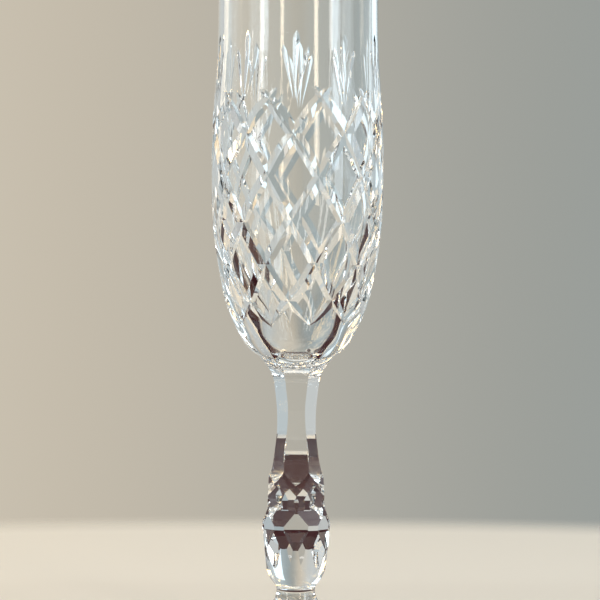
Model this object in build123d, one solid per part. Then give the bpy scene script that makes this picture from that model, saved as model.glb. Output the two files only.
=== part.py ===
from build123d import *
import os

# Champagne flute in cut crystal, as four pieces of glass fused end to end along the Z axis.
# Millimetres. +Z is up, the origin is the centre of the foot's resting plane, and one flat
# of the six-sided stem faces -Y.

# Heights of the joints between the pieces, and of the rim
FOOT_TOP = 12.0
KNOP_TOP = 48.5
SHAFT_TOP = 78.0
RIM_HEIGHT = 211.0

# Foot
FOOT_RADIUS = 31.0
FOOT_EDGE_RADIUS = 1.2
FOOT_EDGE_HEIGHT = 2 * FOOT_EDGE_RADIUS
FOOT_RING_INNER_RADIUS = 25.0
FOOT_HOLLOW_DEPTH = 1.2
FOOT_HOLLOW_HALFWAY_DEPTH = 0.75 * FOOT_HOLLOW_DEPTH
WAIST_RADIUS = 5.8
FOOT_DOME_LINE = [
    (20.0, 3.6),
    (11.0, 5.6),
    (7.5, 8.4),
    (WAIST_RADIUS, FOOT_TOP),
]
FOOT_DOME_START = (-1, 0.09)
WAIST_SLOPE = (-0.12, 1)

# Stem: six flats, each hollowed along its length. A flat's distance from the axis, with its height.
STEM_SIDES = 6
SIDE_PITCH = 360 / STEM_SIDES
STEM_FLAT_LINE = [
    (12.6, 37.6),
    (10.2, 40.6),
    (8.4, 43.6),
    (7.15, 46.9),
    (6.3, 49.6),
    (5.36, 54.7),
    (5.0, 62.0),
    (5.65, 72.7),
    (6.58, 78.0),
    (8.6, 81.4),
    (11.2, 85.0),
]
FLUTES_START = STEM_FLAT_LINE[0][1]
FLUTES_END = STEM_FLAT_LINE[-1][1]

# Knop: a round blank, cut with a wide face below the ridge under each arris of the stem, a mitre
# across the shoulder above each face, and two mitres across each corner between two faces: one
# at the ridge and one at the tip of the flute. A mitre is its distance from the axis, its height,
# and the leans of its upper and lower side.
RIDGE_HEIGHT = 32.3
FACE_RADIUS = 10.15
FACE_LEAN = 6.0
CORNER_MITRE = (9.5, 30.9, 4.5, 10.0)
TIP_MITRE = (9.2, 39.6, 15.0, 10.0)
SHOULDER_MITRE = (8.55, 37.4, -2.0, 19.5)
KNOP_BLANK_LINE = [
    (WAIST_RADIUS, FOOT_TOP),
    (5.75, 13.0),
    (6.25, 14.3),
    (7.4, 15.9),
    (8.65, 18.4),
    (9.6, 21.5),
    (10.7, 27.5),
]
KNOP_BLANK_END = (0.1, 1)
KNOP_BLANK_RADIUS = 12.0

# Bowl: radius and height along the outside and the inside, up to the straight top below the lip
LIP_HEIGHT = 1.0
BOWL_OUTER_LINE = [
    (8.0, 81.6),
    (13.5, 84.4),
    (18.0, 90.5),
    (22.6, 104.3),
    (25.1, 119.0),
    (25.85, 137.0),
    (25.4, 156.0),
    (24.4, 171.0),
    (24.05, 182.0),
    (24.0, 195.0),
]
BOWL_INNER_LINE = [
    (3.4, 85.75),
    (6.0, 86.5),
    (8.3, 88.5),
    (10.0, 91.4),
    (11.7, 95.2),
    (13.7, 99.6),
    (15.8, 104.9),
    (18.1, 111.5),
    (20.2, 118.5),
    (22.0, 128.0),
    (22.7, 140.0),
    (22.5, 156.0),
    (22.15, 175.0),
    (22.1, 195.0),
]
BOWL_BASE_HEIGHT = 80.8
CAVITY_BOTTOM_HEIGHT = 85.5
CAVITY_FLOOR_START = (-1, -0.2)
LEVEL_INWARDS = (-1, 0)

# Reach of the blocks that cut the glass, past its outside
REACH = 60.0


def revolved(*edges):
    """A solid of revolution from the closed outline that the edges make in the XZ plane."""
    return revolve(Plane.XZ * make_face(list(edges)), Axis.Z)


def slab(flat_line, turn):
    """The space between two opposite stem flats, turned about the axis."""
    near = Spline(*[(-distance, height) for distance, height in flat_line])
    far = Spline(*[(distance, height) for distance, height in flat_line])
    bottom = Line(near @ 0, far @ 0)
    top = Line(near @ 1, far @ 1)
    outline = Plane.YZ * make_face([near, far, bottom, top])
    return Rotation(0, 0, turn) * extrude(outline, REACH, both=True)


def six_sided(low, high):
    """The stem's fluted six-sided column between two heights."""
    column = Pos(0, 0, (low + high) / 2) * Box(REACH, REACH, high - low)
    for side in range(STEM_SIDES // 2):
        column = column & slab(STEM_FLAT_LINE, side * SIDE_PITCH)
    return column


def open_room(low, high):
    """Room for the part of the knop that the stem's flutes don't reach."""
    return Pos(0, 0, (low + high) / 2) * Box(REACH, REACH, high - low)


def face_cutter(radius, height, lean, turn):
    """A block whose inner face is a flat facet, leaning inwards below the height."""
    block = Pos(0, -REACH / 2, 0) * Box(REACH, REACH, REACH)
    return Rotation(0, 0, turn) * Pos(0, -radius, height) * Rotation(lean, 0, 0) * block


def mitre_cutter(mitre, turn):
    """A wedge that cuts a level mitre: it opens outwards above and below its middle."""
    radius, height, upper_lean, lower_lean = mitre
    upper = face_cutter(radius, height, upper_lean, turn)
    lower = face_cutter(radius, height, -lower_lean, turn)
    return upper & lower


def make_foot():
    """Foot: flat resting ring, hollowed underside, rounded edge and a dome up to the neck."""
    ring_outer = FOOT_RADIUS - FOOT_EDGE_RADIUS
    hollow = ThreePointArc(
        (0, FOOT_HOLLOW_DEPTH),
        (FOOT_RING_INNER_RADIUS / 2, FOOT_HOLLOW_HALFWAY_DEPTH),
        (FOOT_RING_INNER_RADIUS, 0),
    )
    ring = Line(hollow @ 1, (ring_outer, 0))
    edge = ThreePointArc(
        ring @ 1,
        (FOOT_RADIUS, FOOT_EDGE_RADIUS),
        (ring_outer, FOOT_EDGE_HEIGHT),
    )
    dome = Spline(edge @ 1, *FOOT_DOME_LINE, tangents=[FOOT_DOME_START, WAIST_SLOPE])
    top = Line(dome @ 1, (0, FOOT_TOP))
    return revolved(hollow, ring, edge, dome, top, Line(top @ 1, hollow @ 0))


def make_knop():
    """Knop: round blank cut with the stem's flutes, wide faces and three rows of mitres."""
    side = Spline(*KNOP_BLANK_LINE, tangents=[WAIST_SLOPE, KNOP_BLANK_END])
    upper = Line(side @ 1, (KNOP_BLANK_RADIUS, KNOP_TOP))
    top = Line(upper @ 1, (0, KNOP_TOP))
    bottom = Line((0, FOOT_TOP), side @ 0)
    knop = revolved(side, upper, top, Line(top @ 1, bottom @ 0), bottom)
    knop = knop & (six_sided(FLUTES_START, KNOP_TOP) + open_room(FOOT_TOP, FLUTES_START))
    for side_number in range(STEM_SIDES):
        corner_turn = side_number * SIDE_PITCH
        face_turn = corner_turn + SIDE_PITCH / 2
        knop = knop - mitre_cutter(CORNER_MITRE, corner_turn)
        knop = knop - mitre_cutter(TIP_MITRE, corner_turn)
        knop = knop - mitre_cutter(SHOULDER_MITRE, face_turn)
        knop = knop - face_cutter(FACE_RADIUS, RIDGE_HEIGHT, FACE_LEAN, face_turn)
    return knop


def make_shaft():
    """Shaft: the plain run of the fluted six-sided column."""
    return six_sided(KNOP_TOP, SHAFT_TOP)


def make_bowl():
    """Bowl: blown ovoid wall on a solid base, with the top of the fluted column fused under it."""
    outer = Spline(*BOWL_OUTER_LINE)
    inner = Spline(*BOWL_INNER_LINE)
    rim_outer = BOWL_OUTER_LINE[-1][0]
    rim_inner = BOWL_INNER_LINE[-1][0]
    lip = ThreePointArc(
        (rim_outer, RIM_HEIGHT - LIP_HEIGHT),
        ((rim_outer + rim_inner) / 2, RIM_HEIGHT),
        (rim_inner, RIM_HEIGHT - LIP_HEIGHT),
    )
    outer_top = Line(outer @ 1, lip @ 0)
    inner_top = Line(lip @ 1, inner @ 1)
    middle = (0, CAVITY_BOTTOM_HEIGHT)
    floor = Spline(inner @ 0, middle, tangents=[CAVITY_FLOOR_START, LEVEL_INWARDS])
    base = Line((0, BOWL_BASE_HEIGHT), outer @ 0)
    axis = Line(floor @ 1, base @ 0)
    wall = revolved(base, outer, outer_top, lip, inner_top, inner, floor, axis)
    return wall + six_sided(SHAFT_TOP, FLUTES_END)


def main():
    os.makedirs("parts", exist_ok=True)
    pieces = {
        "foot": make_foot(),
        "stem_knop": make_knop(),
        "stem_shaft": make_shaft(),
        "bowl": make_bowl(),
    }
    for name, piece in pieces.items():
        export_step(piece, f"parts/{name}.step")


main()
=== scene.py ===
import math

import bmesh
import bpy
import numpy as np
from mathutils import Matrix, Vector
from mathutils.geometry import delaunay_2d_cdt


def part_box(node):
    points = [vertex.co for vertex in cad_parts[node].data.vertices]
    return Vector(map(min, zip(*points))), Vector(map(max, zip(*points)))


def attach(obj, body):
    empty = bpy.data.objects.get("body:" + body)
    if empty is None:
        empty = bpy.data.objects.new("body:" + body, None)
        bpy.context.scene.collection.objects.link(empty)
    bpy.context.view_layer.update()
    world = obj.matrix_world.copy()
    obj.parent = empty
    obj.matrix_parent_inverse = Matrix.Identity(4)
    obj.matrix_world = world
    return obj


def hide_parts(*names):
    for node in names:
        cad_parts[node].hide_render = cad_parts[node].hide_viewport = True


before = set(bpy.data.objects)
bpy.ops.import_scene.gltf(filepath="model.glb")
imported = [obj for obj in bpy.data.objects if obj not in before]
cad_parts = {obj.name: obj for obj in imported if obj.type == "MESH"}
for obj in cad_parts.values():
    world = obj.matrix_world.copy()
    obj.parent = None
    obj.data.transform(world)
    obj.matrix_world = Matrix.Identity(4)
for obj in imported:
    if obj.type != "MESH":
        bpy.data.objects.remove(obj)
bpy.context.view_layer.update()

# A hand-cut crystal champagne flute in four fused pieces of glass. Shapes are worked out in
# millimetres in the frame's own axes, and turned into metres as each mesh is made. A turn is
# measured round the axis from the front (-Y), towards +X.
MM = 0.001


def top_of(node):
    """Height of a CAD node's top, in millimetres."""
    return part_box(node)[1].z / MM


WAIST_HEIGHT = top_of("foot")
KNOP_TOP = top_of("stem_knop")
SHAFT_TOP = top_of("stem_shaft")
RIM_HEIGHT = top_of("bowl")
FOOT_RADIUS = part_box("foot")[1].x / MM

# Points round the glass in every ring
RING_STEPS = 180

# Bowl outlines: radius and height
BOWL_OUTER_LINE = [
    (8.0, 81.6),
    (13.5, 84.4),
    (18.0, 90.5),
    (22.6, 104.3),
    (25.1, 119.0),
    (25.85, 137.0),
    (25.4, 156.0),
    (24.4, 171.0),
    (24.05, 182.0),
    (24.0, 195.0),
    (24.0, RIM_HEIGHT),
]
BOWL_INNER_LINE = [
    (3.4, 85.75),
    (6.0, 86.5),
    (8.3, 88.5),
    (10.0, 91.4),
    (11.7, 95.2),
    (13.7, 99.6),
    (15.8, 104.9),
    (18.1, 111.5),
    (20.2, 118.5),
    (22.0, 128.0),
    (22.7, 140.0),
    (22.5, 156.0),
    (22.15, 175.0),
    (22.1, 195.0),
    (22.1, RIM_HEIGHT),
]
CAVITY_BOTTOM = 85.5
LIP_HEIGHT = 1.0

# Stem: a flat's distance from the axis, and height
STEM_SIDES = 6
SIDE_PITCH = 2 * math.pi / STEM_SIDES
STEM_FLAT_LINE = [
    (12.6, 37.6),
    (10.2, 40.6),
    (8.4, 43.6),
    (7.15, 46.9),
    (6.3, 49.6),
    (5.36, 54.7),
    (5.0, 62.0),
    (5.65, 72.7),
    (6.58, 78.0),
    (8.6, 81.4),
    (11.2, 85.0),
]

# Lattice of crossing mitre cuts: the heights where cuts cross, and where they run out
REPEATS = 10
HALF_PITCH = math.pi / REPEATS
LATTICE_ROWS = [159.3, 148.8, 136.0, 122.8, 110.3, 99.4, 92.5]
LATTICE_TOP = 162.0
LATTICE_BOTTOM = 92.3
TOP_RUN_OUT = 4.5
BOTTOM_RUN_OUT = 9.0
CUT_HALF_WIDTH = 1.9
# Depth of a mitre for each millimetre in from its edge
CUT_SLOPE = 0.42

# Fan of three spear cuts over each notch of the lattice. Turns are in half pitches.
SPEAR_TIP_HEIGHT = 178.8
SPEAR_FOOT_HEIGHT = 158.2
SPEAR_HALF_WIDTH = 1.05
SIDE_SPEAR_TIP_HEIGHT = 174.0
SIDE_SPEAR_HALF_WIDTH = 0.75
SIDE_SPEAR_TIP_TURN = 0.47
SIDE_SPEAR_FOOT_TURN = 0.07
# Where a spear is widest, as a share of its length from the tip
SPEAR_BELLY = 0.14
# Depth of a spear for each millimetre in from its edge
SPEAR_SLOPE = 0.6

# The band of the bowl that holds every cut
CUT_ZONE_BOTTOM = 90.4
CUT_ZONE_TOP = 181.0


def smooth_line(points, count):
    """A natural cubic spline through the points, as count + 1 points."""
    points = np.array(points, float)
    along = np.concatenate([[0], np.cumsum(np.linalg.norm(np.diff(points, axis=0), axis=1))])
    step = np.diff(along)
    slope = np.diff(points, axis=0) / step[:, None]
    matrix = np.eye(len(along))
    right = np.zeros_like(points)
    for i in range(1, len(along) - 1):
        matrix[i, i - 1 : i + 2] = step[i - 1], 2 * (step[i - 1] + step[i]), step[i]
        right[i] = 6 * (slope[i] - slope[i - 1])
    bend = np.linalg.solve(matrix, right)
    at = np.linspace(0, along[-1], count + 1)
    i = np.clip(np.searchsorted(along, at, side="right") - 1, 0, len(step) - 1)
    h = step[i][:, None]
    before = (at - along[i])[:, None]
    after = (along[i + 1] - at)[:, None]
    curve = (bend[i] * after**3 + bend[i + 1] * before**3) / (6 * h)
    curve += (points[i] / h - bend[i] * h / 6) * after
    curve += (points[i + 1] / h - bend[i + 1] * h / 6) * before
    return curve


def radius_by_height(points):
    """A function from height to radius along a smooth outline."""
    line = smooth_line(points, 6000)
    return lambda height: np.interp(height, line[:, 1], line[:, 0])


def smoothstep(value, low, high):
    """An eased rise from 0 at low to 1 at high."""
    t = np.clip((value - low) / (high - low), 0, 1)
    return t * t * (3 - 2 * t)


def polar(radius, turn, height):
    """Points from a radius and a turn about the axis."""
    return np.stack(
        np.broadcast_arrays(radius * np.sin(turn), -radius * np.cos(turn), height), axis=-1
    )


wall_radius = radius_by_height(BOWL_OUTER_LINE)
flat_distance = radius_by_height(STEM_FLAT_LINE)


def column_radius(turn, height):
    """Radius of the six-sided column where its flats are all alike, with one facing the front."""
    off_flat = (turn + SIDE_PITCH / 2) % SIDE_PITCH - SIDE_PITCH / 2
    return flat_distance(height) / np.cos(off_flat)


# How far up each flat of the shaft is cut out of true, from the front one towards +X
FLAT_SLIPS = np.array([7.0, -2.4, -1.2, -0.6, -1.5, -2.6])
# The slips come in over this much above the knop, and go again from this height up to the bowl
SLIP_RISE = 8
SLIP_END = 66


def side_distance(side, height):
    """A flat's distance from the axis, with its own slip between the knop and the bowl."""
    above_knop = smoothstep(height, KNOP_TOP + 0.5, KNOP_TOP + SLIP_RISE)
    below_bowl = 1 - smoothstep(height, SLIP_END, SHAFT_TOP - 1)
    free = above_knop * below_bowl
    return flat_distance(height + free * FLAT_SLIPS[side % STEM_SIDES])


def column_point(turn, height):
    """A point on the six-sided column, with a flat facing the front and an edge at every arris."""
    side = np.round(turn / SIDE_PITCH).astype(int)
    share = turn / SIDE_PITCH - side
    towards = np.where(share < 0, -1, 1)
    near = side_distance(side, height)
    next_to = side_distance(side + towards, height)
    corner = np.arctan2(next_to - near * math.cos(SIDE_PITCH), near * math.sin(SIDE_PITCH))
    off_flat = 2 * np.abs(share) * corner * towards
    return near / np.cos(off_flat), side * SIDE_PITCH + off_flat


# ---------------------------------------------------------------- cuts on the bowl


def folded(turn):
    """A turn counted in half pitches, folded into the half repeat from 0 to 1."""
    return np.abs((turn + 1) % 2 - 1)


ROW_LINE = smooth_line(
    [(index - 1, height) for index, height in enumerate(LATTICE_ROWS)][::-1], 4000
)
# How many points at each end of a fine outline give its slope there
END_POINTS = 40


def end_slope(first, last):
    """Turn by height between two points of the row line."""
    return (last[0] - first[0]) / (last[1] - first[1])


def lattice_phase(height):
    """How far the mitre cuts have turned at a height, in half pitches, from the second row."""
    inside = np.interp(height, ROW_LINE[:, 1], ROW_LINE[:, 0])
    top_slope = end_slope(ROW_LINE[-END_POINTS], ROW_LINE[-1])
    low_slope = end_slope(ROW_LINE[0], ROW_LINE[END_POINTS - 1])
    above = np.maximum(height - LATTICE_ROWS[0], 0) * top_slope
    below = np.minimum(height - LATTICE_ROWS[-1], 0) * low_slope
    return inside + above + below


def cut_half_width(height):
    """Half the width of a mitre cut at a height: full between its run-outs."""
    top = np.clip((LATTICE_TOP - height) / TOP_RUN_OUT, 0, 1) ** 0.5
    low = np.clip((height - LATTICE_BOTTOM) / BOTTOM_RUN_OUT, 0, 1) ** 0.6
    return CUT_HALF_WIDTH * top * low


def cut_lean(height):
    """Cosine of a mitre cut's angle to the upright."""
    step = 0.05
    rate = (lattice_phase(height + step) - lattice_phase(height - step)) / (2 * step)
    return 1 / np.sqrt(1 + (rate * HALF_PITCH * wall_radius(height)) ** 2)


def cut_half_turn(height):
    """Half the width of a mitre cut in half pitches."""
    return cut_half_width(height) / (wall_radius(height) * cut_lean(height) * HALF_PITCH)


def spear_half_width(along, widest):
    """Half the width of a spear cut, from its tip (0) to its foot (1)."""
    rising = np.sin(np.clip(along / SPEAR_BELLY, 0, 1) * math.pi / 2)
    falling = (1 - np.clip((along - SPEAR_BELLY) / (1 - SPEAR_BELLY), 0, 1)) ** 0.85
    return widest * rising * falling


# Each spear: turn and height of its tip, then of its foot, and its half width
SPEARS = [
    (0.0, SPEAR_TIP_HEIGHT, 0.0, SPEAR_FOOT_HEIGHT, SPEAR_HALF_WIDTH),
    (
        SIDE_SPEAR_TIP_TURN,
        SIDE_SPEAR_TIP_HEIGHT,
        SIDE_SPEAR_FOOT_TURN,
        SPEAR_FOOT_HEIGHT,
        SIDE_SPEAR_HALF_WIDTH,
    ),
]


def spear_shape(spear, height):
    """A spear's centre line and half width at a height, in half pitches."""
    tip_turn, tip_height, foot_turn, foot_height, widest = spear
    along = (tip_height - height) / (tip_height - foot_height)
    centre = tip_turn + (foot_turn - tip_turn) * np.clip(along, 0, 1)
    half = spear_half_width(np.clip(along, 0, 1), widest)
    half = half / (wall_radius(height) * HALF_PITCH)
    return centre, half


def cut_depth(turn, height):
    """Depth of the cuts, from a turn in half pitches and a height."""
    scale = wall_radius(height) * HALF_PITCH
    phase = lattice_phase(height)
    half = cut_half_turn(height)
    lean = cut_lean(height)
    depth = np.zeros(np.broadcast(turn, height).shape)
    for line in (phase, -phase):
        off = folded(turn - line)
        depth = np.maximum(depth, (half - off) * scale * lean * CUT_SLOPE)
    for spear in SPEARS:
        centre, half = spear_shape(spear, height)
        off = np.abs(folded(turn) - centre)
        depth = np.maximum(depth, (half - off) * scale * SPEAR_SLOPE)
    return depth


# Small irregularities of hand cutting, as slow waves: how many go round the bowl, how fast they
# run along it, and where they start
WOBBLE_RANDOM = np.random.default_rng(11)
WOBBLE = [
    (
        int(WOBBLE_RANDOM.integers(2, 9)),
        WOBBLE_RANDOM.uniform(0.1, 0.28),
        WOBBLE_RANDOM.uniform(0, 6.283),
    )
    for _ in range(7)
]
TURN_WOBBLE = 0.0042
HEIGHT_WOBBLE = 0.13
DEPTH_WOBBLE = 0.045
TWIST_AT_TOP = math.radians(-1.6)
TWIST_AT_BOTTOM = math.radians(-6.0)
# Where the cuts' twist and wobble come in above the base, and die out below the rim
CUTTING_START = (84.5, 91.0)
CUTTING_END = (190, 205)
TWIST_RISE = (88, 165)
# The flare of the column under the bowl: its top, and where the ovoid starts outside it
FLARE_TOP = STEM_FLAT_LINE[-1][1]
OVOID_START = BOWL_OUTER_LINE[0][1]


def wobble(turn, height, shift):
    """A sum of slow waves round and along the bowl."""
    total = 0
    for waves, rate, start in WOBBLE:
        total = total + np.sin(waves * turn + rate * height + start * shift)
    return total


def bowl_surface(turn, height):
    """The bowl's outside: column and ovoid below, cuts above. Turn in half pitches."""
    angle = turn * HALF_PITCH
    cutting = smoothstep(height, *CUTTING_START) * (1 - smoothstep(height, *CUTTING_END))
    twist = TWIST_AT_BOTTOM + (TWIST_AT_TOP - TWIST_AT_BOTTOM) * smoothstep(height, *TWIST_RISE)
    turned = angle + cutting * (twist + TURN_WOBBLE * wobble(angle, height, 1))
    raised = height + cutting * HEIGHT_WOBBLE * wobble(angle, height, 2)
    depth = cut_depth(turn, height) * (1 + DEPTH_WOBBLE * wobble(angle, height, 3))
    flare = column_radius(angle, np.minimum(height, FLARE_TOP))
    column = np.where(height < FLARE_TOP, flare, 0)
    ovoid = np.where(height < OVOID_START, 0, wall_radius(height))
    return polar(np.maximum(ovoid, column) - depth, turned, raised)


def flare_top(turn):
    """Height at which the column's flare meets the ovoid, at each turn in half pitches."""
    heights = np.linspace(OVOID_START + 0.1, FLARE_TOP - 0.1, 800)
    angle = turn[:, None] * HALF_PITCH
    inside = wall_radius(heights)[None, :] > column_radius(angle, heights[None, :])
    return heights[np.argmax(inside, axis=1)]


# ---------------------------------------------------------------- triangulating one half repeat

# Spacing of the mesh points: between neighbours, between rows, from a crease, and along a cut
MESH_SPACING = 0.85
ROW_GAP = 0.87 * MESH_SPACING
CREASE_GAP = 0.42 * MESH_SPACING
LINE_STEP = 0.8
SPEAR_POINTS = 30
# The half repeat is laid flat as if on this radius
FLAT_RADIUS = 24.0


def crossing_polyline(turns, heights):
    """A folded cut line as points (turn, height), with a point at each fold."""
    points = []
    for i in range(len(heights) - 1):
        low, high = sorted((turns[i], turns[i + 1]))
        fold = math.ceil(low)
        points.append((turns[i], heights[i]))
        if low < fold < high:
            share = (fold - turns[i]) / (turns[i + 1] - turns[i])
            points.append((float(fold), heights[i] + share * (heights[i + 1] - heights[i])))
    points.append((turns[-1], heights[-1]))
    return [(float(folded(turn)), float(height)) for turn, height in points]


def lattice_polylines():
    """The edges and middle of one mitre cut, and the creases where cuts cross."""
    count = int((LATTICE_TOP - LATTICE_BOTTOM) / LINE_STEP)
    heights = np.linspace(LATTICE_BOTTOM, LATTICE_TOP, count + 1)
    middle = lattice_phase(heights)
    half = cut_half_turn(heights)
    lines = [crossing_polyline(middle + side * half, heights) for side in (-1, 0, 1)]
    for index, height in enumerate(LATTICE_ROWS):
        node = (index + 1) % 2
        reach = float(cut_half_turn(height))
        lines.append([(float(node), height), (abs(node - reach), height)])
    return lines


def spear_polylines():
    """The edges and middle of each spear cut, where they lie inside the half repeat."""
    lines = []
    for spear in SPEARS:
        _, tip_height, _, foot_height, _ = spear
        heights = np.linspace(foot_height, tip_height, SPEAR_POINTS)
        centre, half = spear_shape(spear, heights)
        for side in (-1, 0, 1):
            turns = centre + side * half
            if np.all(turns >= 0) and not np.all(turns == 0):
                lines.append(list(zip(turns.tolist(), heights.tolist())))
    return lines


def side_line(side, lines):
    """An upright side of the half repeat, with a point wherever a cut line touches it."""
    heights = {CUT_ZONE_BOTTOM, CUT_ZONE_TOP}
    for line in lines:
        heights.update(height for turn, height in line if abs(turn - side) < 1e-9)
    fixed = sorted(heights)
    for low, high in zip(fixed, fixed[1:]):
        extra = int((high - low) / MESH_SPACING)
        heights.update(low + (high - low) * k / (extra + 1) for k in range(1, extra + 1))
    return [(side, height) for height in sorted(heights)]


def end_line(height):
    """The top or bottom of the half repeat, with the same points as the plain bands beyond it."""
    columns = RING_STEPS // (2 * REPEATS)
    return [(k / columns, height) for k in range(columns + 1)]


def join_lines(lines, scale):
    """The lines laid flat in millimetres: each point once, and the edges between them."""
    points, edges, index = [], [], {}
    for line in lines:
        previous = None
        for turn, height in line:
            key = (round(turn * scale, 5), round(height, 5))
            if key not in index:
                index[key] = len(points)
                points.append((turn * scale, height))
            here = index[key]
            if previous is not None and previous != here:
                edges.append((previous, here))
            previous = here
    return np.array(points), edges


def filling_points(points, edges, scale):
    """Points spread evenly between the edges, with none of them close to one."""
    inner = []
    lowest = CUT_ZONE_BOTTOM + MESH_SPACING / 2
    highest = CUT_ZONE_TOP - MESH_SPACING / 3
    for row, height in enumerate(np.arange(lowest, highest, ROW_GAP)):
        start = MESH_SPACING * (0.5 if row % 2 else 1.0)
        across = np.arange(start, scale - MESH_SPACING / 3, MESH_SPACING)
        inner.extend((place, height) for place in across)
    inner = np.array(inner)
    firsts, lasts = points[np.array(edges)].transpose(1, 0, 2)
    along_edges = [firsts * (1 - share) + lasts * share for share in (0, 0.25, 0.5, 0.75, 1)]
    taken = np.concatenate(along_edges)
    gaps = np.linalg.norm(inner[:, None, :] - taken[None, :, :], axis=2)
    return inner[np.min(gaps, axis=1) > CREASE_GAP]


def half_repeat():
    """Points (turn, height) and triangles over one half repeat, with an edge along every crease."""
    scale = FLAT_RADIUS * HALF_PITCH
    lines = lattice_polylines() + spear_polylines()
    border = [side_line(side, lines) for side in (0.0, 1.0)]
    border += [end_line(height) for height in (CUT_ZONE_BOTTOM, CUT_ZONE_TOP)]
    points, edges = join_lines(lines + border, scale)
    inner = filling_points(points, edges, scale)
    everything = [Vector(point) for point in (*points, *inner)]
    found = delaunay_2d_cdt(everything, edges, [], 0, 1e-5)
    flat = np.array([(place.x / scale, place.y) for place in found[0]])
    for side in (0, 1):
        flat[:, 0] = np.where(np.abs(flat[:, 0] - side) < 1e-4, side, flat[:, 0])
    return flat, np.array([list(face) for face in found[2]])


# ---------------------------------------------------------------- closed glass skins

# Patches are joined where their points are closer than this, in metres
SEAM_WELD = 2e-7
# Where a face corner's normal is taken, as a share of the way to the middle of the face
NORMAL_INSET = 0.12


def add_object(name, data):
    """A new object in the scene."""
    made = bpy.data.objects.new(name, data)
    bpy.context.scene.collection.objects.link(made)
    return made


def object_from(form, name):
    """A new object from a finished bmesh, which is used up."""
    mesh = bpy.data.meshes.new(name)
    form.to_mesh(mesh)
    form.free()
    return add_object(name, mesh)


class Skin:
    """The patches of one closed glass surface, with each face corner's own normal."""

    def __init__(self):
        self.points, self.faces, self.normals, self.materials = [], [], [], []
        self.count = 0

    def add(self, points, faces, normals, material):
        """Points, faces of any shape, a normal for each corner and a slot for each face."""
        self.points.append(np.asarray(points, float))
        for face in faces:
            self.faces.append([int(i) + self.count for i in face])
        self.normals.append(np.asarray(normals, float).reshape(-1, 3))
        self.materials.extend(np.broadcast_to(material, len(faces)).tolist())
        self.count += len(points)

    def add_surface(self, surface, params, faces, material):
        """A patch of surface(u, v). Normals are taken inside each face, so creases stay crisp."""
        faces = np.asarray(faces)
        corners = params[faces]
        centres = corners.mean(axis=1, keepdims=True)
        inset = corners + NORMAL_INSET * (centres - corners)
        u, v = inset[..., 0], inset[..., 1]
        du = (corners[..., 0].max() - corners[..., 0].min()) * 1e-6
        dv = (corners[..., 1].max() - corners[..., 1].min()) * 1e-6
        across = surface(u + du, v) - surface(u - du, v)
        up = surface(u, v + dv) - surface(u, v - dv)
        normals = np.cross(across, up)
        normals /= np.maximum(np.linalg.norm(normals, axis=-1, keepdims=True), 1e-30)
        self.add(surface(params[:, 0], params[:, 1]), faces, normals, material)

    def add_cap(self, ring, direction, material):
        """A flat face across a ring of points."""
        order = list(range(len(ring)))
        if direction < 0:
            order.reverse()
        self.add(ring, [order], [(0, 0, direction)] * len(ring), material)

    def build(self, name, materials):
        """The whole skin as one mesh object, with its patches joined."""
        points = np.concatenate(self.points) * MM
        mesh = bpy.data.meshes.new(name)
        mesh.from_pydata(points.tolist(), [], self.faces)
        mesh.polygons.foreach_set("material_index", self.materials)
        # The normals are kept with the corners while the patches are joined
        facing = mesh.attributes.new("facing", "FLOAT_VECTOR", "CORNER")
        facing.data.foreach_set("vector", np.concatenate(self.normals).astype(np.float32).ravel())
        form = bmesh.new()
        form.from_mesh(mesh)
        bmesh.ops.remove_doubles(form, verts=form.verts[:], dist=SEAM_WELD)
        form.to_mesh(mesh)
        form.free()
        normals = np.zeros(len(mesh.loops) * 3, np.float32)
        mesh.attributes["facing"].data.foreach_get("vector", normals)
        mesh.attributes.remove(mesh.attributes["facing"])
        mesh.polygons.foreach_set("use_smooth", [True] * len(mesh.polygons))
        mesh.normals_split_custom_set(normals.reshape(-1, 3).tolist())
        for material in materials:
            mesh.materials.append(material)
        return add_object(name, mesh)


def grid(turns, rows):
    """Parameters and quads for a closed band: one value a row, or a value for each turn in it."""
    turns = np.asarray(turns)
    count = len(turns) - 1
    params = []
    for row in rows:
        params.extend(zip(turns, np.broadcast_to(row, count + 1)))
    params = np.array(params)
    faces = []
    for r in range(len(rows) - 1):
        low = r * (count + 1)
        high = low + count + 1
        faces += [(low + k, low + k + 1, high + k + 1, high + k) for k in range(count)]
    return params, faces


RING_TURNS = np.linspace(0, 2 * REPEATS, RING_STEPS + 1)
# Places of the materials on every piece
SMOOTH_SLOT, CUT_SLOT, SEAM_SLOT = 0, 1, 2


def add_cut_zone(skin):
    """The band of the bowl that the lattice and the spears are cut into."""
    flat, triangles = half_repeat()
    mirrored = flat * (-1, 1)
    for repeat in range(REPEATS):
        for half, order in ((flat, (0, 1, 2)), (mirrored, (0, 2, 1))):
            params = half + (2.0 * repeat, 0)
            faces = triangles[:, order]
            middle = params[faces].mean(axis=1)
            is_cut = cut_depth(middle[:, 0], middle[:, 1]) > 1e-6
            material = np.where(is_cut, CUT_SLOT, SMOOTH_SLOT)
            skin.add_surface(bowl_surface, params, faces, material)


def profile_surface(line):
    """A surface of revolution from a fine outline: turn in half pitches, and share along it."""
    shares = np.linspace(0, 1, len(line))

    def surface(turn, share):
        radius = np.interp(share, shares, line[:, 0])
        height = np.interp(share, shares, line[:, 1])
        return polar(radius, turn * HALF_PITCH, height)

    return surface


def lip_line():
    """Half a round from the outside of the rim to the inside."""
    outside = float(wall_radius(RIM_HEIGHT - LIP_HEIGHT))
    inside = inner_line()[0, 0]
    middle = (outside + inside) / 2
    half = (outside - inside) / 2
    arc = np.linspace(0, math.pi, 400)
    rise = RIM_HEIGHT - LIP_HEIGHT + LIP_HEIGHT * np.sin(arc)
    return np.stack([middle + half * np.cos(arc), rise], axis=1)


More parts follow.
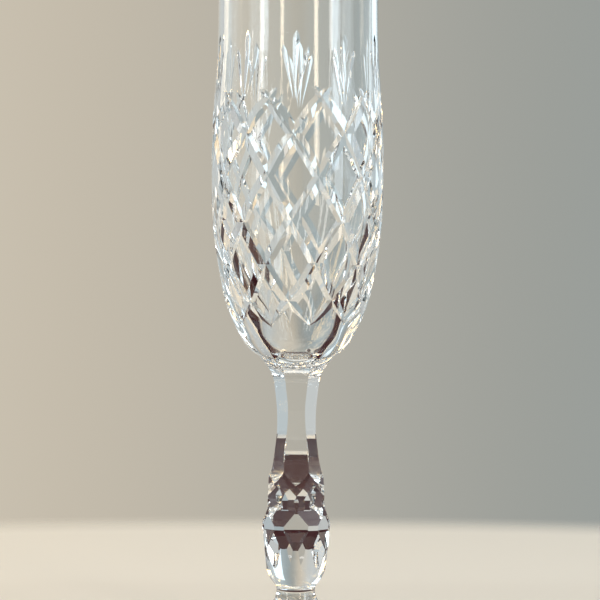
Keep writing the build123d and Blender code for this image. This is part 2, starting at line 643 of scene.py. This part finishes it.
def inner_line():
    """The inside of the bowl from the lip down to the bottom of the cavity."""
    wall = smooth_line(BOWL_INNER_LINE, 3000)
    wall = wall[wall[:, 1] <= RIM_HEIGHT - LIP_HEIGHT][::-1]
    low_radius, low_height = wall[-1]
    slope = (wall[-END_POINTS, 1] - low_height) / (wall[-END_POINTS, 0] - low_radius)
    across = np.linspace(low_radius, 0, 600)[1:]
    share = across / low_radius
    drop = low_height - CAVITY_BOTTOM
    power = max(slope * low_radius / drop, 1.2)
    floor = np.stack([across, CAVITY_BOTTOM + drop * share**power], axis=1)
    top = np.array([[wall[0, 0], RIM_HEIGHT - LIP_HEIGHT]])
    return np.concatenate([top, wall, floor])


# Rows of points up the flare, the ovoid and the plain top, round the lip, and down the inside
FLARE_ROWS = 17
OVOID_ROWS = 15
UPPER_ROWS = 22
LIP_ROWS = 13
INNER_ROWS = 90


def rows_between(low, high, shares):
    """Rows of heights, at these shares of the way from low to high."""
    return [low + (high - low) * share for share in shares]


def make_bowl(materials):
    """The bowl, as one closed skin: flare, ovoid, cut band, plain top, lip, inside and joint."""
    skin = Skin()
    meeting = flare_top(RING_TURNS)
    flare_rows = rows_between(SHAFT_TOP, meeting, np.linspace(0, 1, FLARE_ROWS))
    skin.add_surface(bowl_surface, *grid(RING_TURNS, flare_rows), CUT_SLOT)
    ovoid_rows = rows_between(meeting, CUT_ZONE_BOTTOM, np.linspace(0, 1, OVOID_ROWS) ** 1.3)
    skin.add_surface(bowl_surface, *grid(RING_TURNS, ovoid_rows), SMOOTH_SLOT)
    add_cut_zone(skin)
    upper_rows = np.linspace(CUT_ZONE_TOP, RIM_HEIGHT - LIP_HEIGHT, UPPER_ROWS)
    skin.add_surface(bowl_surface, *grid(RING_TURNS, upper_rows), SMOOTH_SLOT)
    for line, rows in ((lip_line(), LIP_ROWS), (inner_line(), INNER_ROWS)):
        params = grid(RING_TURNS, np.linspace(0, 1, rows))
        skin.add_surface(profile_surface(line), *params, SMOOTH_SLOT)
    ring = bowl_surface(RING_TURNS[:-1], np.full(RING_STEPS, SHAFT_TOP))
    skin.add_cap(ring, -1, SEAM_SLOT)
    piece = skin.build("cut_bowl", materials)
    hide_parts("bowl")
    return piece


def column_surface(turn, height):
    """The shaft's outside. Turn in half pitches."""
    radius, angle = column_point(turn * HALF_PITCH, height)
    return polar(radius, angle, height)


# Rows of points up the shaft
SHAFT_ROWS = 49


def make_shaft(materials):
    """The shaft, as one closed skin: the fluted column and its two joints."""
    skin = Skin()
    rows = np.linspace(KNOP_TOP, SHAFT_TOP, SHAFT_ROWS)
    skin.add_surface(column_surface, *grid(RING_TURNS, rows), CUT_SLOT)
    for height, direction in ((KNOP_TOP, -1), (SHAFT_TOP, 1)):
        ring = column_surface(RING_TURNS[:-1], np.full(RING_STEPS, height))
        skin.add_cap(ring, direction, SEAM_SLOT)
    piece = skin.build("fluted_shaft", materials)
    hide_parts("stem_shaft")
    return piece


# ---------------------------------------------------------------- knop

RIDGE_HEIGHT = 32.3
FACE_RADIUS = 10.15
FACE_LEAN = 6.0
# The three rows of mitres: distance from the axis, height, and lean above and below
CORNER_MITRE = (9.5, 30.9, 4.5, 10.0)
TIP_MITRE = (9.2, 39.6, 15.0, 10.0)
SHOULDER_MITRE = (8.55, 37.4, -2.0, 19.5)
WAIST_RADIUS = 5.8
KNOP_BLANK_LINE = [
    (WAIST_RADIUS, WAIST_HEIGHT),
    (5.75, 13.0),
    (6.25, 14.3),
    (7.4, 15.9),
    (8.65, 18.4),
    (9.6, 21.5),
    (10.7, 27.5),
]
KNOP_BLANK_RADIUS = 12.0
KNOP_BLANK_STEPS = 144
# The solids that crop the blank reach a little past it, in steps of height
CUT_LOW = WAIST_HEIGHT - 2
CUT_HIGH = KNOP_TOP + 2
CUT_STEP = 0.5
# How far hand work strays: a mitre's depth, height and two leans, the ridge, and a face's lean
MITRE_STRAYS = (0.07, 0.3, 0.3, 0.3)
RIDGE_STRAY = 0.3
FACE_STRAY = 0.4


def lathe(name, line, steps):
    """A closed turned solid from an outline that starts and ends on the axis."""
    form = bmesh.new()
    rings = []
    for radius, height in line:
        if radius < 1e-6:
            places = np.array([(0, 0, height)])
        else:
            places = polar(radius, 2 * math.pi * np.arange(steps) / steps, height)
        rings.append([form.verts.new(place) for place in places * MM])
    for low, high in zip(rings, rings[1:]):
        for k in range(steps):
            lower = [low[k % len(low)], low[(k + 1) % len(low)]]
            upper = [high[(k + 1) % len(high)], high[k % len(high)]]
            form.faces.new(list(dict.fromkeys(lower + upper)))
    return object_from(form, name)


def combine(body, other, how):
    """Cuts or crops a solid with another, which is used up."""
    modifier = body.modifiers.new("cut", "BOOLEAN")
    modifier.operation = how
    modifier.solver = "EXACT"
    modifier.object = other
    seen = body.evaluated_get(bpy.context.evaluated_depsgraph_get())
    old = body.data
    body.data = bpy.data.meshes.new_from_object(seen)
    body.modifiers.clear()
    bpy.data.meshes.remove(old)
    bpy.data.objects.remove(other)


def smallest(*choices):
    """The smallest of several functions of height, with the heights where it changes hands."""

    def least(height):
        return np.min([choice(height) for choice in choices], axis=0)

    heights = np.linspace(CUT_LOW, CUT_HIGH, 4001)
    owner = np.argmin([choice(heights) for choice in choices], axis=0)
    changes = heights[1:][np.diff(owner) != 0]
    return least, changes.tolist()


def six_sided_solid(name, sides, first_turn):
    """A closed solid with six sides. Each side is its distance by height, and its kinks."""
    heights = set(np.arange(CUT_LOW, CUT_HIGH + 0.01, CUT_STEP).tolist())
    for _, changes in sides:
        heights.update(changes)
    turns = [first_turn + k * SIDE_PITCH for k in range(STEM_SIDES)]
    facing = np.array([(math.sin(turn), -math.cos(turn)) for turn in turns])
    form = bmesh.new()
    rings = []
    for height in sorted(heights):
        distances = np.array([float(least(np.array(height))) for least, _ in sides])
        ring = []
        for k in range(STEM_SIDES):
            pair = [k, (k + 1) % STEM_SIDES]
            x, y = np.linalg.solve(facing[pair], distances[pair])
            ring.append(form.verts.new((x * MM, y * MM, height * MM)))
        rings.append(ring)
    for low_ring, high_ring in zip(rings, rings[1:]):
        for k in range(STEM_SIDES):
            after = (k + 1) % STEM_SIDES
            form.faces.new((low_ring[k], low_ring[after], high_ring[after], high_ring[k]))
    form.faces.new(rings[0][::-1])
    form.faces.new(rings[-1])
    return object_from(form, name)


def slope_of(degrees):
    """How far a leaning face goes out for each millimetre up."""
    return math.tan(math.radians(degrees))


def lower_face(radius, ridge, lean):
    """A flat face below the ridge, leaning inwards as it goes down."""
    return lambda height: radius - (ridge - height) * slope_of(lean)


def mitre(radius, middle, upper_lean, lower_lean):
    """A shallow level mitre across a side: it opens outwards above and below its middle."""

    def distance(height):
        above = np.maximum(height - middle, 0) * slope_of(upper_lean)
        below = np.maximum(middle - height, 0) * slope_of(lower_lean)
        return radius + above + below

    return distance


def by_hand(cut, hand):
    """A mitre a little off its true depth, height and leans."""
    return [value + hand.normal(0, stray) for value, stray in zip(cut, MITRE_STRAYS)]


def make_knop(materials):
    """The knop: a round blank, cropped by the corner cuts and then by the wide faces."""
    side = smooth_line(KNOP_BLANK_LINE, 60).tolist()
    line = [(0, WAIST_HEIGHT)] + side + [(KNOP_BLANK_RADIUS, KNOP_TOP), (0, KNOP_TOP)]
    knop = lathe("faceted_knop", line, KNOP_BLANK_STEPS)
    hand = np.random.default_rng(5)
    corners, faces = [], []
    for _ in range(STEM_SIDES):
        mitres = [mitre(*by_hand(cut, hand)) for cut in (CORNER_MITRE, TIP_MITRE)]
        corners.append(smallest(flat_distance, *mitres))
        ridge = RIDGE_HEIGHT + hand.normal(0, RIDGE_STRAY)
        lower = lower_face(FACE_RADIUS, ridge, FACE_LEAN + hand.normal(0, FACE_STRAY))
        faces.append(smallest(mitre(*by_hand(SHOULDER_MITRE, hand)), lower))
    combine(knop, six_sided_solid("corner_cuts", corners, 0), "INTERSECT")
    combine(knop, six_sided_solid("wide_faces", faces, SIDE_PITCH / 2), "INTERSECT")
    for material in materials:
        knop.data.materials.append(material)
    finish_flats(knop)
    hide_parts("stem_knop")
    return knop


# Points of the knop closer than this, in metres, are one point
TOLERANCE = 2e-6
# Edges that bend more than this are shaded sharp
SHARP_ANGLE = math.radians(5)


def finish_flats(piece):
    """Smooth shading with crisp edges, and the joint faces' own material."""
    mesh = piece.data
    form = bmesh.new()
    form.from_mesh(mesh)
    bmesh.ops.remove_doubles(form, verts=form.verts[:], dist=TOLERANCE)
    bmesh.ops.dissolve_degenerate(form, edges=form.edges[:], dist=TOLERANCE)
    bmesh.ops.recalc_face_normals(form, faces=form.faces[:])
    ends = (WAIST_HEIGHT * MM, KNOP_TOP * MM)
    for face in form.faces:
        middle = face.calc_center_median().z
        is_level = abs(face.normal.z) > 0.99
        is_end = is_level and any(abs(middle - end) < TOLERANCE for end in ends)
        face.material_index = SEAM_SLOT if is_end else CUT_SLOT
        face.smooth = True
    form.to_mesh(mesh)
    form.free()
    mesh.set_sharp_from_angle(angle=SHARP_ANGLE)


# ---------------------------------------------------------------- foot

FOOT_EDGE_RADIUS = 1.2
FOOT_RING_INNER_RADIUS = 25.0
FOOT_HOLLOW_DEPTH = 1.2
FOOT_DOME_LINE = [
    (FOOT_RADIUS - FOOT_EDGE_RADIUS, 2 * FOOT_EDGE_RADIUS),
    (26.0, 2.75),
    (20.0, 3.6),
    (11.0, 5.6),
    (7.5, 8.4),
    (6.0, 11.0),
    (WAIST_RADIUS, WAIST_HEIGHT),
]
# Rows of points along the hollow, the ring, the edge and the dome
FOOT_ROWS = (26, 5, 14, 60)


def foot_line():
    """Outline from the middle of the underside, round the edge and up to the waist."""
    ring_outer = FOOT_RADIUS - FOOT_EDGE_RADIUS
    across = np.linspace(0, FOOT_RING_INNER_RADIUS, 300)
    rise = FOOT_HOLLOW_DEPTH * (1 - (across / FOOT_RING_INNER_RADIUS) ** 2)
    hollow = np.stack([across, rise], axis=1)
    ring = np.array([(FOOT_RING_INNER_RADIUS, 0), (ring_outer, 0)])
    arc = np.linspace(-math.pi / 2, math.pi / 2, 80)
    out = ring_outer + FOOT_EDGE_RADIUS * np.cos(arc)
    edge = np.stack([out, FOOT_EDGE_RADIUS * (1 + np.sin(arc))], axis=1)
    return [hollow, ring, edge, smooth_line(FOOT_DOME_LINE, 500)]


def make_foot(materials):
    """The foot, as one closed skin: underside, edge, dome and joint."""
    skin = Skin()
    for line, rows in zip(foot_line(), FOOT_ROWS):
        params = grid(RING_TURNS, np.linspace(0, 1, rows))
        skin.add_surface(profile_surface(line), *params, SMOOTH_SLOT)
    ring = polar(np.full(RING_STEPS, WAIST_RADIUS), RING_TURNS[:-1] * HALF_PITCH, WAIST_HEIGHT)
    skin.add_cap(ring, 1, SEAM_SLOT)
    piece = skin.build("blown_foot", materials)
    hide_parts("foot")
    return piece


# ---------------------------------------------------------------- materials

CRYSTAL_IOR = 1.545
# Each crystal: tint, roughness where most worn, and the size and depth of waves and of grain in
# metres
CRYSTALS = {
    "blown_crystal": ((0.985, 0.99, 0.985), 0.012, 0.016, 1e-5, 0.0015, 4e-7),
    "cut_crystal": ((0.99, 0.992, 0.99), 0.02, 0.008, 4e-6, 0.0007, 6e-7),
}
WAVE_DETAIL = 1
GRAIN_DETAIL = 3
# The part of the grain's range over which the polish goes from perfect to most worn
WEAR_RANGE = (0.45, 0.75)


def principled(name, settings):
    """A material with one principled shader and these settings of it, and the shader."""
    material = bpy.data.materials.new(name)
    material.use_nodes = True
    shader = material.node_tree.nodes["Principled BSDF"]
    for socket, value in settings.items():
        shader.inputs[socket].default_value = value
    return material, shader


def link_nodes(tree, *links):
    """Joins pairs of sockets: from, to."""
    for source, target in links:
        tree.links.new(source, target)


def map_range(tree, value, source, result=(0, 1), easing="LINEAR"):
    """The value, taken from the source range to the result range."""
    node = tree.nodes.new("ShaderNodeMapRange")
    node.interpolation_type = easing
    for socket, limit in zip(("From Min", "From Max", "To Min", "To Max"), (*source, *result)):
        node.inputs[socket].default_value = limit
    tree.links.new(value, node.inputs["Value"])
    return node.outputs["Result"]


def noise(tree, size, detail):
    """Noise of that size in the piece's own space, in metres."""
    place = tree.nodes.new("ShaderNodeTexCoord")
    texture = tree.nodes.new("ShaderNodeTexNoise")
    texture.inputs["Scale"].default_value = 1 / size
    texture.inputs["Detail"].default_value = detail
    tree.links.new(place.outputs["Object"], texture.inputs["Vector"])
    return texture.outputs["Fac"]


def bump(tree, height, depth):
    """A bump that follows the height, up to that depth in metres."""
    node = tree.nodes.new("ShaderNodeBump")
    node.inputs["Distance"].default_value = depth
    tree.links.new(height, node.inputs["Height"])
    return node


def crystal(name, tint, roughest, wave_size, wave_depth, grain_size, grain_depth):
    """Clear lead crystal, with slow waves and fine polishing grain in its surface."""
    settings = {"Base Color": (*tint, 1), "Transmission Weight": 1, "IOR": CRYSTAL_IOR}
    material, shader = principled(name, settings)
    tree = material.node_tree
    waves = noise(tree, wave_size, WAVE_DETAIL)
    grain = noise(tree, grain_size, GRAIN_DETAIL)
    slow = bump(tree, waves, wave_depth)
    fine = bump(tree, grain, grain_depth)
    link_nodes(
        tree,
        (map_range(tree, grain, WEAR_RANGE, (0, roughest)), shader.inputs["Roughness"]),
        (slow.outputs["Normal"], fine.inputs["Normal"]),
        (fine.outputs["Normal"], shader.inputs["Normal"]),
    )
    return material


def seam_material():
    """Where two pieces are fused there is no surface: light goes straight on."""
    return principled("fused_joint", {"Alpha": 0})[0]


# ---------------------------------------------------------------- studio

# The studio's measures are in metres
CAMERA_DISTANCE = 0.85
CAMERA_HEIGHT = 0.0998
CAMERA_SIDE = 0.0009
VIEW_WIDTH = 0.18036
CAMERA_ROLL = math.radians(-0.25)


def add_camera():
    """A long lens, level with the lower part of the bowl."""
    data = bpy.data.cameras.new("camera")
    data.sensor_width = 36
    data.lens = data.sensor_width * CAMERA_DISTANCE / VIEW_WIDTH
    data.clip_start = 0.01
    camera = add_object("camera", data)
    camera.location = (CAMERA_SIDE, -CAMERA_DISTANCE, CAMERA_HEIGHT)
    camera.rotation_euler = (math.pi / 2, CAMERA_ROLL, 0)
    bpy.context.scene.camera = camera


FLOOR_RADIUS = 0.47
FLOOR_FADE = 0.1
# Keeps the floor off the face that the glass rests on
FLOOR_GAP = 0.0003
FLOOR_TONE = (0.72, 0.70, 0.67)
# The height that the lights face
AIM_HEIGHT = 0.11
WARM = (1.0, 0.86, 0.66)
AMBER = (1.0, 0.68, 0.30)
COOL = (0.78, 0.91, 1.0)
NEUTRAL = (1.0, 0.98, 0.95)
# Each light: turn from the front and angle up in degrees, then distance, width, height,
# brightness and colour
LIGHTS = {
    "cool_window": (150, 12, 1.3, 0.45, 0.7, 0.85, COOL),
    "warm_window": (231, 12, 1.3, 0.16, 0.6, 2.2, WARM),
    "amber_side": (250, 32, 1.1, 0.45, 0.7, 6.5, AMBER),
    "cool_side": (75, 20, 1.1, 0.4, 0.9, 1.5, COOL),
    "cool_strip": (-54, 18, 1.25, 0.10, 0.9, 6.0, NEUTRAL),
    "front_window": (56, 20, 1.25, 0.28, 0.9, 5.0, COOL),
    "cream_lamp": (26, 14, 1.25, 0.12, 0.7, 7.0, WARM),
    "top_soft": (0, 88, 1.3, 1.2, 1.2, 0.6, NEUTRAL),
}


def add_floor():
    """A pale disc whose edge fades softly into the background."""
    settings = {"Base Color": (*FLOOR_TONE, 1), "Roughness": 0.8, "Specular IOR Level": 0.2}
    material, shader = principled("floor_paper", settings)
    tree = material.node_tree
    place = tree.nodes.new("ShaderNodeTexCoord")
    reach = tree.nodes.new("ShaderNodeVectorMath")
    reach.operation = "LENGTH"
    fading = (FLOOR_RADIUS, FLOOR_RADIUS - FLOOR_FADE)
    fade = map_range(tree, reach.outputs["Value"], fading, easing="SMOOTHSTEP")
    link_nodes(tree, (place.outputs["Object"], reach.inputs[0]), (fade, shader.inputs["Alpha"]))
    form = bmesh.new()
    bmesh.ops.create_circle(form, cap_ends=True, segments=256, radius=FLOOR_RADIUS)
    floor = object_from(form, "floor")
    floor.data.materials.append(material)
    floor.location.z = -FLOOR_GAP


# The tray: the radius of the hole that the foot stands in, its size, its edge and its height
TRAY_HOLE = 0.05
TRAY_HALF_WIDTH = 0.20
TRAY_HALF_DEPTH = 0.15
TRAY_WALL = 0.024
TRAY_LIFT = 0.0006
TRAY_STEPS = 96
TRAY_TONE = (0.048, 0.008, 0.011)


def add_table_card():
    """A dark tray on the floor round the glass, with a low edge, that only the glass sees."""
    form = bmesh.new()
    spokes = []
    for turn in np.linspace(0, 2 * math.pi, TRAY_STEPS, endpoint=False):
        aside, back = math.sin(turn), -math.cos(turn)
        reach = 1 / max(abs(aside) / TRAY_HALF_WIDTH, abs(back) / TRAY_HALF_DEPTH)
        places = [(TRAY_HOLE, TRAY_LIFT), (reach, TRAY_LIFT), (reach, TRAY_WALL)]
        spokes.append([form.verts.new((aside * far, back * far, height)) for far, height in places])
    for spoke, after in zip(spokes, spokes[1:] + spokes[:1]):
        for k in (0, 1):
            form.faces.new((spoke[k], spoke[k + 1], after[k + 1], after[k]))
    settings = {"Base Color": (*TRAY_TONE, 1), "Roughness": 0.6, "Specular IOR Level": 0.2}
    card = object_from(form, "table_card")
    card.data.materials.append(principled("table_card", settings)[0])
    card.visible_camera = False
    card.visible_diffuse = False
    card.visible_shadow = False


def on_sphere(turn, up, distance):
    """A place on a sphere round the glass, and the way from the glass to it."""
    turn, up = math.radians(turn), math.radians(up)
    aim = Vector((0, 0, AIM_HEIGHT))
    way = Vector((math.sin(turn) * math.cos(up), -math.cos(turn) * math.cos(up), math.sin(up)))
    return aim + way * distance, way


def add_lights():
    """Soft studio windows, each facing the glass."""
    for name, (turn, up, distance, width, height, brightness, colour) in LIGHTS.items():
        data = bpy.data.lights.new(name, "AREA")
        data.shape = "RECTANGLE"
        data.size, data.size_y = width, height
        data.energy = brightness * math.pi * width * height
        data.color = colour
        light = add_object(name, data)
        light.location, way = on_sphere(turn, up, distance)
        light.rotation_euler = way.to_track_quat("Z", "Y").to_euler()
        light.visible_camera = False


# The wall's colour by its direction, from -1 at the far left to 1 at the far right
WALL_COLOURS = {
    -0.8: (0.55, 0.57, 0.56),
    -0.35: (0.58, 0.60, 0.58),
    -0.13: (0.60, 0.545, 0.45),
    0.013: (0.43, 0.415, 0.365),
    0.13: (0.315, 0.345, 0.335),
    0.35: (0.40, 0.47, 0.49),
    0.8: (0.50, 0.56, 0.58),
}
# How bright the wall is in front of the glass, and the direction (-1 is right in front) from
# which it is fully so
FRONT_BRIGHTNESS = 1.2
FRONT_FULL = -0.8


def add_world():
    """A plain wall all round: warm to cool across the back, and brighter in front of the glass."""
    world = bpy.data.worlds.new("studio")
    world.use_nodes = True
    tree = world.node_tree
    background = tree.nodes["Background"]
    way = tree.nodes.new("ShaderNodeTexCoord")
    split = tree.nodes.new("ShaderNodeSeparateXYZ")
    ramp = tree.nodes.new("ShaderNodeValToRGB")
    ramp.color_ramp.interpolation = "CARDINAL"
    stops = ramp.color_ramp.elements
    while len(stops) < len(WALL_COLOURS):
        stops.new(0.5)
    for stop, (direction, colour) in zip(stops, WALL_COLOURS.items()):
        stop.position = (direction + 1) / 2
        stop.color = (*colour, 1)
    across = map_range(tree, split.outputs["X"], (-1, 1))
    brighter = (1, FRONT_BRIGHTNESS)
    front = map_range(tree, split.outputs["Y"], (0, FRONT_FULL), brighter, "SMOOTHSTEP")
    link_nodes(
        tree,
        (way.outputs["Generated"], split.inputs["Vector"]),
        (across, ramp.inputs["Fac"]),
        (ramp.outputs["Color"], background.inputs["Color"]),
        (front, background.inputs["Strength"]),
    )
    bpy.context.scene.world = world


def set_up_light_paths():
    """A plain view transform, and bounces enough for light to pass right through the cut glass."""
    scene = bpy.context.scene
    scene.view_settings.view_transform = "Standard"
    scene.cycles.max_bounces = 32
    scene.cycles.transmission_bounces = 32
    scene.cycles.glossy_bounces = 12
    scene.cycles.transparent_max_bounces = 32


def main():
    glasses = [crystal(name, *look) for name, look in CRYSTALS.items()] + [seam_material()]
    pieces = [make_bowl(glasses), make_shaft(glasses), make_knop(glasses), make_foot(glasses)]
    for piece in pieces:
        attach(piece, "root")
    add_camera()
    add_floor()
    add_table_card()
    add_world()
    add_lights()
    set_up_light_paths()


main()
